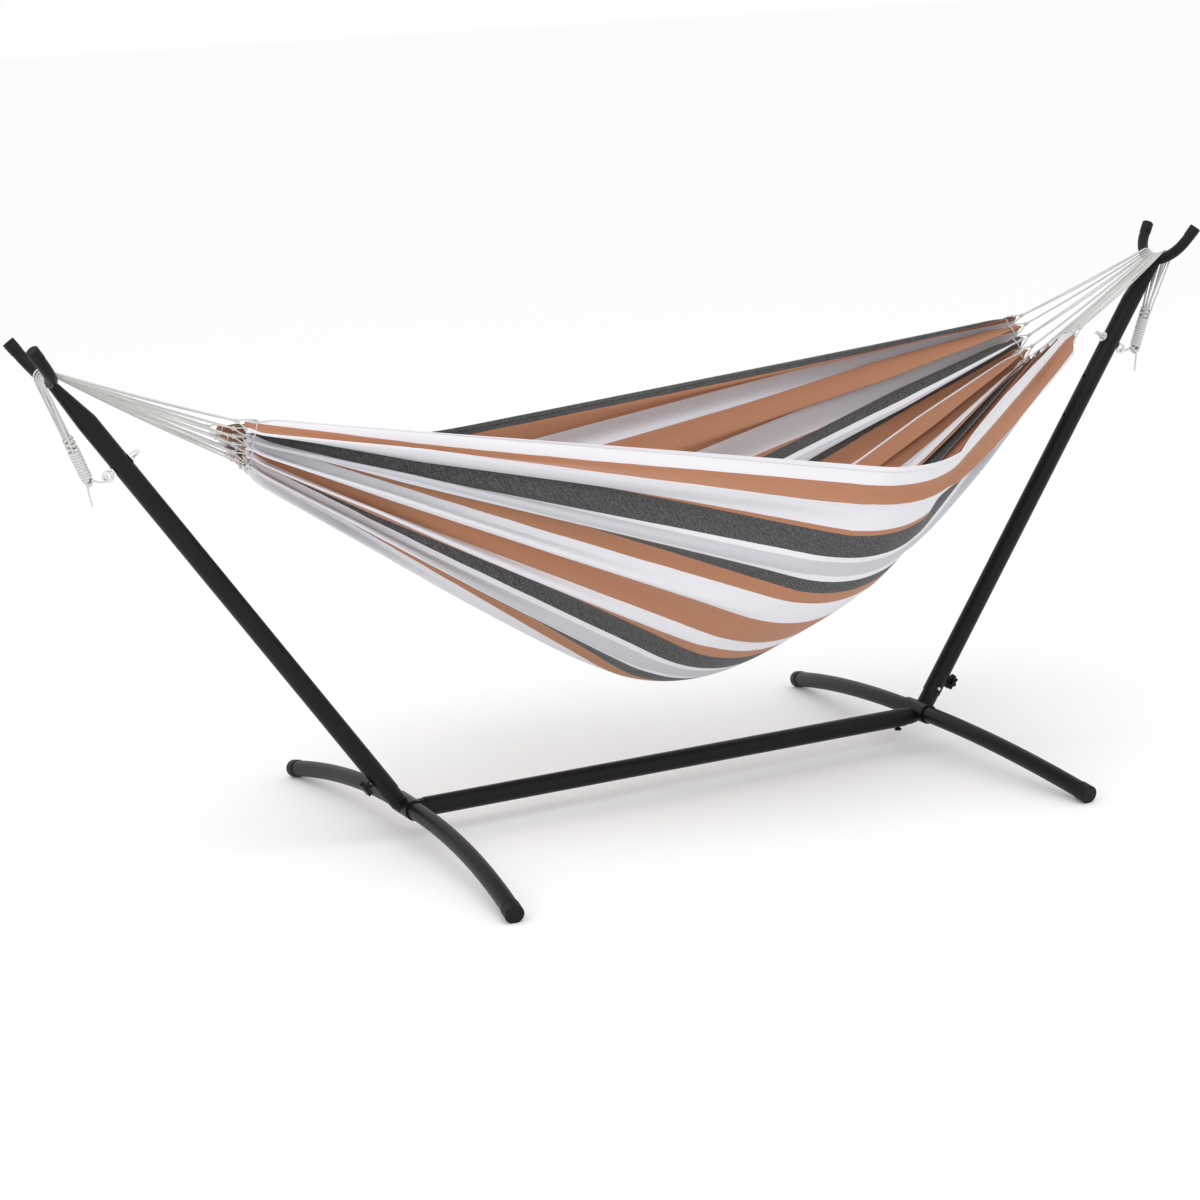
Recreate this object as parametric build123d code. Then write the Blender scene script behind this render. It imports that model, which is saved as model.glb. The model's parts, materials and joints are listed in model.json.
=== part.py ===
from build123d import *
import math
import os

# Hammock on a space-saving steel stand, in millimetres.
# +X runs along the stand, +Z is up, and the origin is on the floor under its middle.
# The whole object turns into itself by half a turn about Z, so every piece of the right
# end is built once and turned to make the left end.

# Steel stand: driving dimensions
TUBE_OD = 43.0
TUBE_WALL = 1.5
STUB_CLEARANCE = 0.1
STUB_WALL = 2.0
HUB_HALF_SPAN = 659.0
UPRIGHT_LEAN = 34.0
FORK_SADDLE_T = 1228.0
ELBOW_RADIUS = 70.0
BEAM_END_GAP = 8.0
BEAM_INSERT = 90.0
UPRIGHT_START_T = 58.0
UPRIGHT_INSERT_T = 170.0
TAPER_LENGTH = 100.0
TONGUE_THICKNESS = 18.0
TONGUE_WIDTH = 54.0
TONGUE_OFFSET = 7.0

# Feet: four curved legs plug into the elbows' side sockets, and lean outward as they go down
FOOT_OD = 38.0
FOOT_WALL = 1.5
SOCKET_OD = 46.0
SOCKET_GAP = 0.2
SOCKET_HALF_LENGTH = 46.0
SOCKET_FLOOR_Y = 21.0
SOCKET_OFFSET = 10.8
FOOT_STRAIGHT_Y = 46.0
FOOT_ARCH_RADIUS = 2520.0
FOOT_ARCH_ANGLE = 13.4
FOOT_TILT = 30.5
CAP_OVERLAP = 26.0
CAP_END = 4.0
FOOT_CAP_OD = 40.8
FOOT_CAP_FLAT = 2.0
CAP_ROUNDING_SHARE = 0.6
CAP_GROOVE_WIDTH = 2.0
CAP_GROOVE_DEPTH = 0.8

# Fork on top of each upright
FORK_ROD_OD = 25.0
FORK_ROD_WALL = 2.0
FORK_RADIUS = 87.0
FORK_HALF_ANGLE = 75.0
FORK_ARM_LENGTH = 27.0
FORK_OFFSET = 7.0
FORK_CAP_OD = 26.8
FORK_CAP_OVERLAP = 24.0
FORK_CAP_END = 3.0

# Fasteners
KNOB_T = 103.0
KNOB_LOBES = 7
KNOB_RADIUS = 14.0
KNOB_LOBE_RADIUS = 4.6
KNOB_THICKNESS = 11.0
KNOB_BOSS_RADIUS = 8.0
KNOB_BOSS_LENGTH = 9.0
KNOB_FACE_GAP = 1.0
STUD_RADIUS = 4.0
RUNNING_GAP = 0.08
STUD_TIP = 20.2
BUTTON_T = 72.0
BUTTON_RADIUS = 4.0
BUTTON_PROUD = 4.0
BUTTON_ROUNDING = 2.4
BUTTON_FOOT_Y = 15.0
LEAF_THICKNESS = 0.8
LEAF_WIDTH = 7.0
LEAF_BELOW = 15.3
LEAF_ABOVE = 30.7
LEAF_FAR_Y = 11.0
BEAM_SCREW_X = 597.0
BEAM_SCREW_HEAD_RADIUS = 9.0
BEAM_SCREW_HEAD_HEIGHT = 4.0
BEAM_SCREW_HEAD_ROUNDING = 2.8
BEAM_SCREW_NECK_RADIUS = 5.0
BEAM_SCREW_NECK = 4.0
EYE_BOLT_T = 1002.0
EYE_CENTRE_N = 37.0
EYE_RADIUS = 9.5
EYE_WIRE_RADIUS = 3.0
EYE_HOLE_RADIUS = 4.3
EYE_THREAD_END_N = -46.0
SPARE_HOLE_COUNT = 2
SPARE_HOLE_PITCH = 105.0
WASHER_RADIUS = 12.0
WASHER_THICKNESS = 1.8
WING_HUB_RADIUS = 6.5
WING_HUB_HEIGHT = 9.0
WING_SPAN = 15.0
WING_RISE = 9.0
WING_THICKNESS = 3.0
WING_ROOT = 5.0
WING_ROOT_TOP = 8.1
WING_ROOT_BOTTOM = 0.5
WING_TIP_WIDTH = 3.75
WING_TIP_BOTTOM = 2.7

# Ropes
CORD_DIAMETER = 4.0
CORDS_PER_END = 10
SADDLE_SPREAD = 74.0
SADDLE_GAP = 0.4
SADDLE_CHORDS = 4
HARNESS_CLEARANCE = 40.0
WHIPPING_WIDTH = 25.0
WHIPPING_THICKNESS = 15.0
WHIPPING_ROUNDING = 6.75
WHIPPING_MARGIN = 3.0
WHIPPING_TOP = (57.0, 1092.0)
WHIPPING_BOTTOM = (73.0, 1024.0)
KNOT_LENGTH = 14.0
KNOT_RADIUS = 4.0
TAIL_ROUTE = ((-6.0, 76.0, 1021.0), (-6.5, 84.5, 1006.0), (-5.5, 92.0, 990.5), (-7.0, 98.5, 974.5))
LINK_ROUTE = (
    (5.0, 67.5, 1021.5),
    (7.5, 60.0, 1007.0),
    (10.0, 48.0, 999.5),
    (3.0, 38.5, 1001.0),
    (-7.0, 37.0, 1002.0),
)
ARC_SHARE = 0.45

# Fabric bed: every lengthwise thread runs from one gathered end, round a crease that
# crosses the bed at a slant, to the other gathered end
BED_THICKNESS = 5.0
BED_HALF_WIDTH = 620.0
BED_CREASE_SHIFT = 348.0
BED_CREASE_LOW_Z = 200.0
BED_CREASE_EDGE_Z = 774.0
BED_CREASE_ANGLE = 82.0
BED_CREASE_POWER = 0.8
BED_ROUND_MIDDLE = 236.0
BED_ROUND_EDGE = 155.0
GATHER_OUTER_CORNER = Vector(1078.0, -75.0, 945.0)
GATHER_LOW = Vector(988.0, 0.0, 880.0)
GATHER_INNER_CORNER = Vector(988.0, 45.0, 978.0)
BED_THREADS = 14
BED_STRAIGHT_STEPS = 4
BED_ROUND_STEPS = 4


def cos_deg(angle):
    return math.cos(math.radians(angle))


def sin_deg(angle):
    return math.sin(math.radians(angle))


# Heights follow from the foot arch: its cap's lowest rim is trimmed flat on the floor
bend_angle = 90 - UPRIGHT_LEAN
socket_rise = SOCKET_OFFSET * cos_deg(bend_angle / 2)
socket_setback = SOCKET_OFFSET * sin_deg(bend_angle / 2)
arch_drop = FOOT_ARCH_RADIUS * (1 - cos_deg(FOOT_ARCH_ANGLE)) + CAP_END * sin_deg(FOOT_ARCH_ANGLE)
cap_slope = sin_deg(FOOT_ARCH_ANGLE) * cos_deg(FOOT_TILT)
cap_end_height = FOOT_CAP_OD / 2 * math.sqrt(1 - cap_slope**2) - FOOT_CAP_FLAT
socket_z = cap_end_height + arch_drop * cos_deg(FOOT_TILT)
BEAM_Z = socket_z - socket_rise

elbow_tangent = ELBOW_RADIUS * math.tan(math.radians(bend_angle / 2))
beam_end_x = HUB_HALF_SPAN - elbow_tangent - BEAM_END_GAP
stub_od = TUBE_OD - 2 * TUBE_WALL - 2 * STUB_CLEARANCE
stub_id = stub_od - 2 * STUB_WALL
tube_radius = TUBE_OD / 2
rod_radius = FORK_ROD_OD / 2

# Axes of the right upright: T runs up along it, N points out of its outer side
T_DIR = Vector(sin_deg(UPRIGHT_LEAN), 0, cos_deg(UPRIGHT_LEAN))
N_DIR = Vector(cos_deg(UPRIGHT_LEAN), 0, -sin_deg(UPRIGHT_LEAN))
HUB = Vector(HUB_HALF_SPAN, 0, BEAM_Z)
SOCKET_CENTRE = Vector(HUB_HALF_SPAN - socket_setback, 0, socket_z)


def at(y, n, t):
    """The point of the right upright's frame at y along Y, n outward and t up the tube."""
    return HUB + N_DIR * n + T_DIR * t + Vector(0, y, 0)


def rod(start, end, radius):
    """A round bar from one point to another."""
    axis = end - start
    return extrude(Plane(origin=start, z_dir=axis) * Circle(radius), axis.length)


def tube(start, end, outer, inner):
    return rod(start, end, outer) - rod(start, end, inner)


def pipe(path, radius):
    """A round wire along a path."""
    return sweep(Plane(origin=path @ 0, z_dir=path % 0) * Circle(radius), path=path)


def rounded_at(solid, point, radius):
    """The solid with its edge nearest to a point rounded."""
    nearest = solid.edges().sort_by(lambda edge: (edge.center() - point).length)[:1]
    return fillet(nearest, radius)


def upright_plane(n, t):
    """A plane across Y and the upright, with its X along N and its Z along T."""
    return Plane(origin=at(0, n, t), x_dir=N_DIR, z_dir=T_DIR)


def face_plane(n, t):
    """A plane that looks along N, with its X along T."""
    return Plane(origin=at(0, n, t), x_dir=T_DIR, z_dir=N_DIR)


# ---- Beam, elbows and feet
def make_beam():
    end = Vector(beam_end_x, 0, BEAM_Z)
    beam = tube(Vector(-beam_end_x, 0, BEAM_Z), end, tube_radius, tube_radius - TUBE_WALL)
    for side in (-1, 1):
        beam -= beam_screw_hole(side)
    return beam


def beam_screw_hole(side):
    """The space that the lock screw takes through the beam's lower wall and the stub's."""
    top = Vector(side * BEAM_SCREW_X, 0, BEAM_Z)
    return rod(top, top - Vector(0, 0, TUBE_OD), STUD_RADIUS + RUNNING_GAP)


def make_elbow():
    beam_leg = Vector(beam_end_x - BEAM_INSERT, 0, BEAM_Z)
    path = FilletPolyline(beam_leg, HUB, at(0, 0, UPRIGHT_INSERT_T), radius=ELBOW_RADIUS)
    elbow = pipe(path, stub_od / 2)
    reach = Vector(0, SOCKET_HALF_LENGTH, 0)
    elbow += rod(SOCKET_CENTRE - reach, SOCKET_CENTRE + reach, SOCKET_OD / 2)
    for side in (-1, 1):
        socket_floor = SOCKET_CENTRE + Vector(0, side * SOCKET_FLOOR_Y, 0)
        elbow -= rod(socket_floor, SOCKET_CENTRE + reach * side, FOOT_OD / 2 + SOCKET_GAP)
    elbow -= pipe(path, stub_id / 2)
    elbow -= rod(at(0, 0, BUTTON_T), at(-TUBE_OD, 0, BUTTON_T), BUTTON_RADIUS + RUNNING_GAP)
    return elbow - beam_screw_hole(1)


def foot_path(side):
    """The centre line of one leg: out of its socket, then down an arc in a leaning plane."""
    down = Vector(sin_deg(FOOT_TILT), 0, -cos_deg(FOOT_TILT))
    plane = Plane(origin=SOCKET_CENTRE, x_dir=(0, side, 0), z_dir=Vector(0, side, 0).cross(down * -1))
    start = SOCKET_FLOOR_Y + SOCKET_GAP
    corners = []
    for angle in (0, FOOT_ARCH_ANGLE / 2, FOOT_ARCH_ANGLE):
        reach = FOOT_STRAIGHT_Y + FOOT_ARCH_RADIUS * sin_deg(angle)
        corners.append((reach, -FOOT_ARCH_RADIUS * (1 - cos_deg(angle))))
    straight = Line((start, 0), corners[0])
    arc = ThreePointArc(*corners)
    return plane * Wire([straight.edge(), arc.edge()])


def make_foot_leg(side):
    path = foot_path(side)
    return pipe(path, FOOT_OD / 2) - pipe(path, FOOT_OD / 2 - FOOT_WALL)


def make_end_cap(tip, axis, rod_od, cap_od, overlap, end):
    """A moulded cap pushed over a tube's end, with a groove round it."""
    direction = axis.normalized()
    mouth = tip - direction * overlap
    outside = tip + direction * end
    cap = rounded_at(rod(mouth, outside, cap_od / 2), outside, end * CAP_ROUNDING_SHARE)
    groove_at = mouth + direction * CAP_GROOVE_WIDTH * 2
    groove_end = groove_at + direction * CAP_GROOVE_WIDTH
    cap -= tube(groove_at, groove_end, cap_od, cap_od / 2 - CAP_GROOVE_DEPTH)
    return cap - rod(mouth, tip, rod_od / 2)


def make_foot_cap(side):
    path = foot_path(side)
    tip = path @ 1
    cap = make_end_cap(tip, path % 1, FOOT_OD, FOOT_CAP_OD, CAP_OVERLAP, CAP_END)
    wide = 4 * FOOT_CAP_OD
    return cap - Pos(tip.X, tip.Y, -wide / 2) * Box(wide, wide, wide)


# ---- Uprights and forks
def fork_path():
    centre = Plane(origin=at(0, FORK_OFFSET, FORK_SADDLE_T + FORK_RADIUS), x_dir=(0, 1, 0), z_dir=N_DIR)
    side_y = FORK_RADIUS * sin_deg(FORK_HALF_ANGLE)
    side_z = -FORK_RADIUS * cos_deg(FORK_HALF_ANGLE)
    tip_y = side_y + FORK_ARM_LENGTH * cos_deg(FORK_HALF_ANGLE)
    tip_z = side_z + FORK_ARM_LENGTH * sin_deg(FORK_HALF_ANGLE)
    near = Line((-tip_y, tip_z), (-side_y, side_z))
    bottom = ThreePointArc((-side_y, side_z), (0, -FORK_RADIUS), (side_y, side_z))
    far = Line((side_y, side_z), (tip_y, tip_z))
    return centre * Wire([near.edge(), bottom.edge(), far.edge()])


def make_fork():
    path = fork_path()
    return pipe(path, rod_radius) - pipe(path, rod_radius - FORK_ROD_WALL)


def make_fork_cap(side):
    path = fork_path()
    tip = path @ (1 if side > 0 else 0)
    axis = (path % 1) if side > 0 else (path % 0) * -1
    return make_end_cap(tip, axis, FORK_ROD_OD, FORK_CAP_OD, FORK_CAP_OVERLAP, FORK_CAP_END)


def spare_hole_heights():
    return [EYE_BOLT_T - SPARE_HOLE_PITCH * (index + 1) for index in range(SPARE_HOLE_COUNT)]


def make_upright():
    taper_start = FORK_SADDLE_T - rod_radius - TAPER_LENGTH
    upright = rod(at(0, 0, UPRIGHT_START_T), at(0, 0, taper_start), tube_radius)
    top = upright_plane(TONGUE_OFFSET, FORK_SADDLE_T) * Ellipse(TONGUE_THICKNESS / 2, TONGUE_WIDTH / 2)
    bottom = upright_plane(0, taper_start) * Circle(tube_radius)
    upright += loft([bottom, top])
    upright -= rod(at(0, 0, UPRIGHT_START_T), at(0, 0, taper_start), tube_radius - TUBE_WALL)
    upright -= pipe(fork_path(), rod_radius)
    above = Rectangle(2 * TONGUE_WIDTH, 2 * TONGUE_WIDTH)
    upright -= extrude(upright_plane(0, FORK_SADDLE_T) * above, TUBE_OD)
    upright -= rod(at(0, 0, BUTTON_T), at(-TUBE_OD, 0, BUTTON_T), BUTTON_RADIUS + RUNNING_GAP)
    upright -= rod(at(0, 0, KNOB_T), at(0, TUBE_OD, KNOB_T), STUD_RADIUS + RUNNING_GAP)
    for height in [EYE_BOLT_T] + spare_hole_heights():
        upright -= rod(at(0, -TUBE_OD, height), at(0, TUBE_OD, height), EYE_HOLE_RADIUS)
    return upright


# ---- Knobs, buttons and screws
def make_knob():
    """A star knob whose boss faces the upright's outer side."""
    boss_face = tube_radius + KNOB_FACE_GAP
    head_face = boss_face + KNOB_BOSS_LENGTH
    head_plane = face_plane(head_face, KNOB_T)
    outline = Circle(KNOB_RADIUS)
    for location in PolarLocations(KNOB_RADIUS, KNOB_LOBES):
        outline += location * Circle(KNOB_LOBE_RADIUS)
    head = extrude(head_plane * outline, KNOB_THICKNESS)
    boss = rod(at(0, boss_face, KNOB_T), at(0, head_face, KNOB_T), KNOB_BOSS_RADIUS)
    recess = rod(at(0, boss_face, KNOB_T), at(0, head_face + KNOB_THICKNESS / 2, KNOB_T), STUD_RADIUS)
    return head + boss - recess


def make_knob_stud():
    head_face = tube_radius + KNOB_FACE_GAP + KNOB_BOSS_LENGTH
    return rod(at(0, STUD_TIP, KNOB_T), at(0, head_face + KNOB_THICKNESS / 2, KNOB_T), STUD_RADIUS)


def make_snap_button():
    """A round-nosed button on a folded leaf spring inside the elbow's stub."""
    nose = at(-tube_radius - BUTTON_PROUD, 0, BUTTON_T)
    button = rounded_at(rod(at(-BUTTON_FOOT_Y, 0, BUTTON_T), nose, BUTTON_RADIUS), nose, BUTTON_ROUNDING)
    outline = Polyline(
        (-BUTTON_FOOT_Y, -LEAF_BELOW),
        (-BUTTON_FOOT_Y, LEAF_ABOVE),
        (LEAF_FAR_Y, LEAF_ABOVE),
        (LEAF_FAR_Y, -LEAF_BELOW),
        (LEAF_FAR_Y - LEAF_THICKNESS, -LEAF_BELOW),
        (LEAF_FAR_Y - LEAF_THICKNESS, LEAF_ABOVE - LEAF_THICKNESS),
        (-BUTTON_FOOT_Y + LEAF_THICKNESS, LEAF_ABOVE - LEAF_THICKNESS),
        (-BUTTON_FOOT_Y + LEAF_THICKNESS, -LEAF_BELOW),
        close=True,
    )
    side = Plane(origin=at(0, -LEAF_WIDTH / 2, BUTTON_T), x_dir=(0, 1, 0), z_dir=N_DIR)
    return button + extrude(side * make_face(outline), LEAF_WIDTH)


def make_beam_screw():
    """A mushroom-headed thumb screw under the beam's end, through both walls of the joint."""
    neck_top = Vector(BEAM_SCREW_X, 0, BEAM_Z - tube_radius)
    neck_bottom = neck_top - Vector(0, 0, BEAM_SCREW_NECK)
    head_bottom = neck_bottom - Vector(0, 0, BEAM_SCREW_HEAD_HEIGHT)
    shank_top = Vector(BEAM_SCREW_X, 0, BEAM_Z - stub_id / 2 + STUD_RADIUS)
    head = rod(neck_bottom, head_bottom, BEAM_SCREW_HEAD_RADIUS)
    head = rounded_at(head, head_bottom, BEAM_SCREW_HEAD_ROUNDING)
    neck = rod(neck_top, neck_bottom, BEAM_SCREW_NECK_RADIUS)
    return head + neck + rod(shank_top, neck_top, STUD_RADIUS)


# ---- Eye bolts, washers and wing nuts
def make_eye_bolt():
    eye = Plane(origin=at(0, EYE_CENTRE_N, EYE_BOLT_T), x_dir=N_DIR, z_dir=(0, 1, 0))
    thread_end = at(0, EYE_THREAD_END_N, EYE_BOLT_T)
    neck = at(0, EYE_CENTRE_N - EYE_RADIUS, EYE_BOLT_T)
    return eye * Torus(EYE_RADIUS, EYE_WIRE_RADIUS) + rod(thread_end, neck, STUD_RADIUS)


def ring_about_bolt(n_start, thickness, outline):
    """A plate on the eye bolt, from n_start outward, with the bolt's hole in it."""
    plane = face_plane(n_start, EYE_BOLT_T)
    hole = extrude(plane * Circle(STUD_RADIUS + RUNNING_GAP), thickness)
    return extrude(plane * outline, thickness) - hole


def make_washers():
    outer = ring_about_bolt(tube_radius, WASHER_THICKNESS, Circle(WASHER_RADIUS))
    inner = ring_about_bolt(-tube_radius - WASHER_THICKNESS, WASHER_THICKNESS, Circle(WASHER_RADIUS))
    return [outer, inner]


def make_wing_nut():
    """A nut with two ears, on the inner side of the upright."""
    start = -tube_radius - WASHER_THICKNESS - RUNNING_GAP - WING_HUB_HEIGHT
    nut = ring_about_bolt(start, WING_HUB_HEIGHT, Circle(WING_HUB_RADIUS))
    for side in (-1, 1):
        outline = Polyline(
            (side * WING_ROOT, WING_ROOT_TOP),
            (side * WING_ROOT, WING_ROOT_BOTTOM),
            (side * (WING_SPAN - WING_TIP_WIDTH), -WING_RISE),
            (side * WING_SPAN, -WING_RISE),
            (side * WING_SPAN, -WING_TIP_BOTTOM),
            close=True,
        )
        upper = at(0, start, EYE_BOLT_T + WING_THICKNESS / 2)
        ear = Plane(origin=upper, x_dir=(0, 1, 0), z_dir=T_DIR * -1) * make_face(outline)
        nut += extrude(ear, WING_THICKNESS)
    return nut


# ---- Ropes
def cord_places(spread):
    """Even places across Y for the cords of one end."""
    step = spread / (CORDS_PER_END - 1)
    return [(index - (CORDS_PER_END - 1) / 2) * step for index in range(CORDS_PER_END)]


def saddle_wrap(y):
    """The centre and radius of a cord's turn over the curved rod of the fork, at y across it."""
    rise = FORK_RADIUS - math.sqrt(FORK_RADIUS**2 - y**2)
    slope = math.sqrt(1 - (y / FORK_RADIUS) ** 2)
    return at(y, FORK_OFFSET, FORK_SADDLE_T + rise), rod_radius / slope + SADDLE_GAP + CORD_DIAMETER / 2


def angle_of(vector):
    """A direction's angle from the outward normal N towards T."""
    return math.degrees(math.atan2(vector.dot(T_DIR), vector.dot(N_DIR)))


def wrap_point(centre, radius, angle):
    return centre + N_DIR * (radius * cos_deg(angle)) + T_DIR * (radius * sin_deg(angle))


def meeting_angle(y, hem):
    """Where a cord from the hem meets the fork's rod."""
    centre, radius = saddle_wrap(y)
    pull = hem - centre
    return angle_of(pull) % 360 - math.degrees(math.acos(radius / pull.length))


def leaving_angle(y, whipping_end):
    """Where a cord leaves the fork's rod for the whipping."""
    centre, radius = saddle_wrap(y)
    drop = whipping_end - centre
    return angle_of(drop) + math.degrees(math.acos(radius / drop.length))


def cord_ends():
    """For each cord of one end: its place on the saddle, its hem point and its whipping point."""
    ends = []
    whipping_places = cord_places(WHIPPING_WIDTH - 2 * WHIPPING_MARGIN)
    for index, (y, narrow) in enumerate(zip(cord_places(SADDLE_SPREAD), whipping_places)):
        hem = gather_point(-1 + 2 * index / (CORDS_PER_END - 1))
        ends.append((y, hem, at(narrow, *WHIPPING_TOP)))
    return ends


def rounded_path(points):
    """Straight runs joined by arcs as large as the runs allow, and the arcs' radii."""
    radii = []
    for before, corner, after in zip(points, points[1:], points[2:]):
        turn = (corner - before).get_angle(after - corner)
        shorter = min((corner - before).length, (after - corner).length)
        radii.append(ARC_SHARE * shorter / math.tan(math.radians(turn / 2)))
    return FilletPolyline(*points, radius=radii), radii


def make_rope_bundle():
    """The cords over the fork's rod and down the outer side to the whipping."""
    strands = []
    for y, hem, whipping_end in cord_ends():
        centre, radius = saddle_wrap(y)
        meets = meeting_angle(y, hem)
        step = (leaving_angle(y, whipping_end) - meets) / SADDLE_CHORDS
        outer = radius / cos_deg(step / 2)
        route = [wrap_point(centre, outer, meets + step * index) for index in range(SADDLE_CHORDS + 1)]
        strands.append(pipe(rounded_path(route + [whipping_end])[0], CORD_DIAMETER / 2))
    return strands


def make_whipping():
    top = at(0, *WHIPPING_TOP)
    axis = at(0, *WHIPPING_BOTTOM) - top
    plane = Plane(origin=top, x_dir=(0, 1, 0), z_dir=axis)
    section = plane * RectangleRounded(WHIPPING_WIDTH, WHIPPING_THICKNESS, WHIPPING_ROUNDING)
    return extrude(section, axis.length)


def make_cord(name, route):
    """A short loose cord, whose length and bend radii are printed."""
    path, radii = rounded_path([at(*place) for place in route])
    print(name, "length", round(path.length, 1), "radii", [round(radius, 1) for radius in radii])
    return pipe(path, CORD_DIAMETER / 2)


def make_harness():
    """The cords from the knots at the hem towards the fork, which they stop short of."""
    cords = []
    for y, hem, _ in cord_ends():
        centre, radius = saddle_wrap(y)
        run = wrap_point(centre, radius, meeting_angle(y, hem)) - hem
        along = run.normalized()
        start = hem + along * KNOT_LENGTH
        end = hem + along * (run.length - HARNESS_CLEARANCE)
        cords.append(rod(start, end, CORD_DIAMETER / 2))
    return cords


def make_knots():
    knots = []
    for y, hem, _ in cord_ends():
        along = (saddle_wrap(y)[0] - hem).normalized()
        knots.append(rod(hem + along * BED_THICKNESS, hem + along * KNOT_LENGTH, KNOT_RADIUS))
    return knots


# ---- Fabric bed
def gather_point(across):
    """A point of the right gathered hem, from -1 at its outer corner to 1 at its inner one."""
    corner = GATHER_OUTER_CORNER if across < 0 else GATHER_INNER_CORNER
    return GATHER_LOW + (corner - GATHER_LOW) * abs(across)


def left_gather_point(across):
    point = gather_point(-across)
    return Vector(-point.X, -point.Y, point.Z)


def crease_point(across):
    """The corner of a thread's two straight runs, before it is rounded."""
    angle = across * BED_CREASE_ANGLE
    sideways = sin_deg(angle) / sin_deg(BED_CREASE_ANGLE)
    lift = (1 - cos_deg(angle)) / (1 - cos_deg(BED_CREASE_ANGLE))
    height = BED_CREASE_LOW_Z + (BED_CREASE_EDGE_Z - BED_CREASE_LOW_Z) * lift**BED_CREASE_POWER
    return Vector(-BED_CREASE_SHIFT * across, BED_HALF_WIDTH * sideways, height)


def run_points(start, end, steps):
    """Evenly spaced points from start up to, but not at, end."""
    return [start + (end - start) * (step / steps) for step in range(steps)]


def thread_points(across):
    """Points along one lengthwise thread, from the left gather to the right one."""
    left = left_gather_point(across)
    right = gather_point(across)
    corner = crease_point(across)
    reach = BED_ROUND_MIDDLE + (BED_ROUND_EDGE - BED_ROUND_MIDDLE) * abs(across)
    bend_start = corner + (left - corner).normalized() * reach
    bend_end = corner + (right - corner).normalized() * reach
    points = run_points(left, bend_start, BED_STRAIGHT_STEPS)
    for step in range(BED_ROUND_STEPS):
        along = step / BED_ROUND_STEPS
        middle = corner * (2 * along * (1 - along))
        points.append(bend_start * (1 - along) ** 2 + middle + bend_end * along**2)
    return points + run_points(bend_end, right, BED_STRAIGHT_STEPS) + [right]


def make_bed():
    """A closed thin shell of flat facets, half the thickness to each side of the threads."""
    grid = [thread_points(-1 + 2 * index / BED_THREADS) for index in range(BED_THREADS + 1)]
    rows = len(grid)
    columns = len(grid[0])

    def offset(row, column):
        along = grid[row][min(column + 1, columns - 1)] - grid[row][max(column - 1, 0)]
        across = grid[min(row + 1, rows - 1)][column] - grid[max(row - 1, 0)][column]
        return along.cross(across).normalized() * (BED_THICKNESS / 2)

    upper = [[grid[row][column] + offset(row, column) for column in range(columns)] for row in range(rows)]
    lower = [[grid[row][column] - offset(row, column) for column in range(columns)] for row in range(rows)]
    faces = []

    def add_quad(a, b, c, d):
        faces.append(Face(Wire.make_polygon([a, b, c])))
        faces.append(Face(Wire.make_polygon([a, c, d])))

    for row in range(rows - 1):
        for column in range(columns - 1):
            for sheet in (upper, lower):
                this, following = sheet[row], sheet[row + 1]
                add_quad(this[column], this[column + 1], following[column + 1], following[column])
    for column in range(columns - 1):
        for row in (0, rows - 1):
            add_quad(upper[row][column], upper[row][column + 1], lower[row][column + 1], lower[row][column])
    for row in range(rows - 1):
        for column in (0, columns - 1):
            add_quad(upper[row][column], upper[row + 1][column], lower[row + 1][column], lower[row][column])
    return Solid(Shell(faces))


# ---- Write one file for each node
def turned(shape):
    """The left end's copy of a piece of the right end."""
    return shape.rotate(Axis.Z, 180)


def write(name, shape):
    export_step(shape, os.path.join("parts", name + ".step"))


def write_pair(name, shape):
    write("right_" + name, shape)
    write("left_" + name, turned(shape))


os.makedirs("parts", exist_ok=True)
write("centre_beam", make_beam())
write_pair("elbow", make_elbow())
for side, place, opposite in ((-1, "near", "far"), (1, "far", "near")):
    leg = make_foot_leg(side)
    write(f"right_{place}_foot", leg)
    write(f"left_{opposite}_foot", turned(leg))
    foot_cap = make_foot_cap(side)
    write(f"right_{place}_foot_cap", foot_cap)
    write(f"left_{opposite}_foot_cap", turned(foot_cap))
    fork_cap = make_fork_cap(side)
    write(f"right_{place}_fork_cap", fork_cap)
    write(f"left_{opposite}_fork_cap", turned(fork_cap))
write_pair("upright", make_upright())
write_pair("fork", make_fork())
write_pair("knob", make_knob())
write_pair("knob_stud", make_knob_stud())
write_pair("snap_button", make_snap_button())
write_pair("beam_screw", make_beam_screw())
write_pair("eye_bolt", make_eye_bolt())
write_pair("eye_bolt_washers", Compound(children=make_washers()))
write_pair("wing_nut", make_wing_nut())
write_pair("rope_bundle", Compound(children=make_rope_bundle()))
write_pair("whipping", make_whipping())
write_pair("link_cord", make_cord("link cord", LINK_ROUTE))
write_pair("rope_tail", make_cord("rope tail", TAIL_ROUTE))
write_pair("harness_cords", Compound(children=make_harness()))
write_pair("hem_knots", Compound(children=make_knots()))
write("hammock_bed", make_bed())
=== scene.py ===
"""Hammock on a steel stand: the looks of every piece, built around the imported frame."""

import json
import math

import bpy
import numpy as np
from mathutils import Matrix, Vector


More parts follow.
